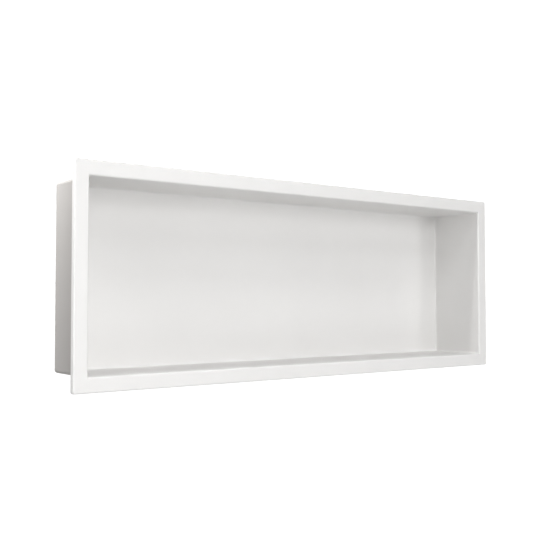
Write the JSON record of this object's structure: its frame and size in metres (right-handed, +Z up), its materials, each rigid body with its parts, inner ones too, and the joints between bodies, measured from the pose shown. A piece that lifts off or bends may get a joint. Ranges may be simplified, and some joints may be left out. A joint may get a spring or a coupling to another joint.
{
  "type": "shower niche insert",
  "caption": "Shallow rectangular wall niche of white coated sheet steel, open at the front, with a flat flange whose edge folds back to meet the wall around its cut-out.",
  "frame": {"origin": "centre of the flange lip's rear rim, in the plane of the finished wall face", "axes": "+X to the right as seen from the room, +Y into the wall, +Z up"},
  "size_m": [0.632, 0.0812, 0.232],
  "materials": {
    "white_coating": "satin white powder coat over sheet steel"
  },
  "bodies": {
    "root": {"niche_insert": "white_coating"}
  },
  "joints": []
}
